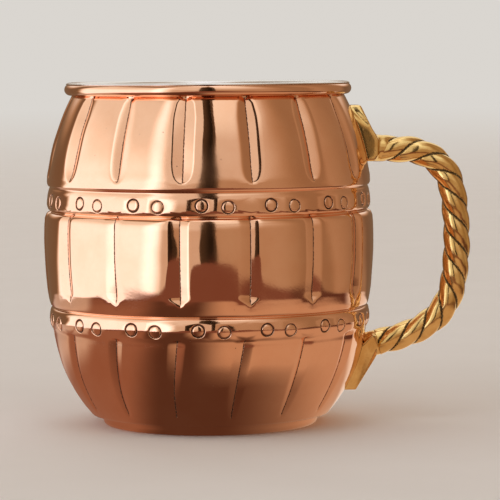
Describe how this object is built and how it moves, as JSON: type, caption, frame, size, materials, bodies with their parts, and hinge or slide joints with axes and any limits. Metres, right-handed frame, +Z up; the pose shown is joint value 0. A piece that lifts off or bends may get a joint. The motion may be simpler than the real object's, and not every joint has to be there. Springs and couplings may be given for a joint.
{
  "type": "barrel mug",
  "caption": "Barrel-shaped copper mug with pressed staves and hoops, a steel liner and a twisted brass rope handle.",
  "frame": {"origin": "centre of the foot, on the surface that the mug stands on", "axes": "+Z up along the barrel's axis, +X towards the handle"},
  "size_m": [0.1168, 0.0902, 0.0935],
  "materials": {
    "copper": "mirror-polished copper with fine swirl marks",
    "liner_steel": "polished stainless steel",
    "brass": "polished cast brass, rough in the grooves",
    "rivet_steel": "satin stainless steel"
  },
  "bodies": {
    "root": {"copper_shell": "copper", "steel_liner": "liner_steel", "upper_lug": "brass", "lower_lug": "brass", "rope_strand_1": "brass", "rope_strand_2": "brass", "rope_strand_3": "brass", "upper_rivet_1": "rivet_steel", "upper_rivet_2": "rivet_steel", "lower_rivet_1": "rivet_steel", "lower_rivet_2": "rivet_steel"}
  },
  "joints": []
}
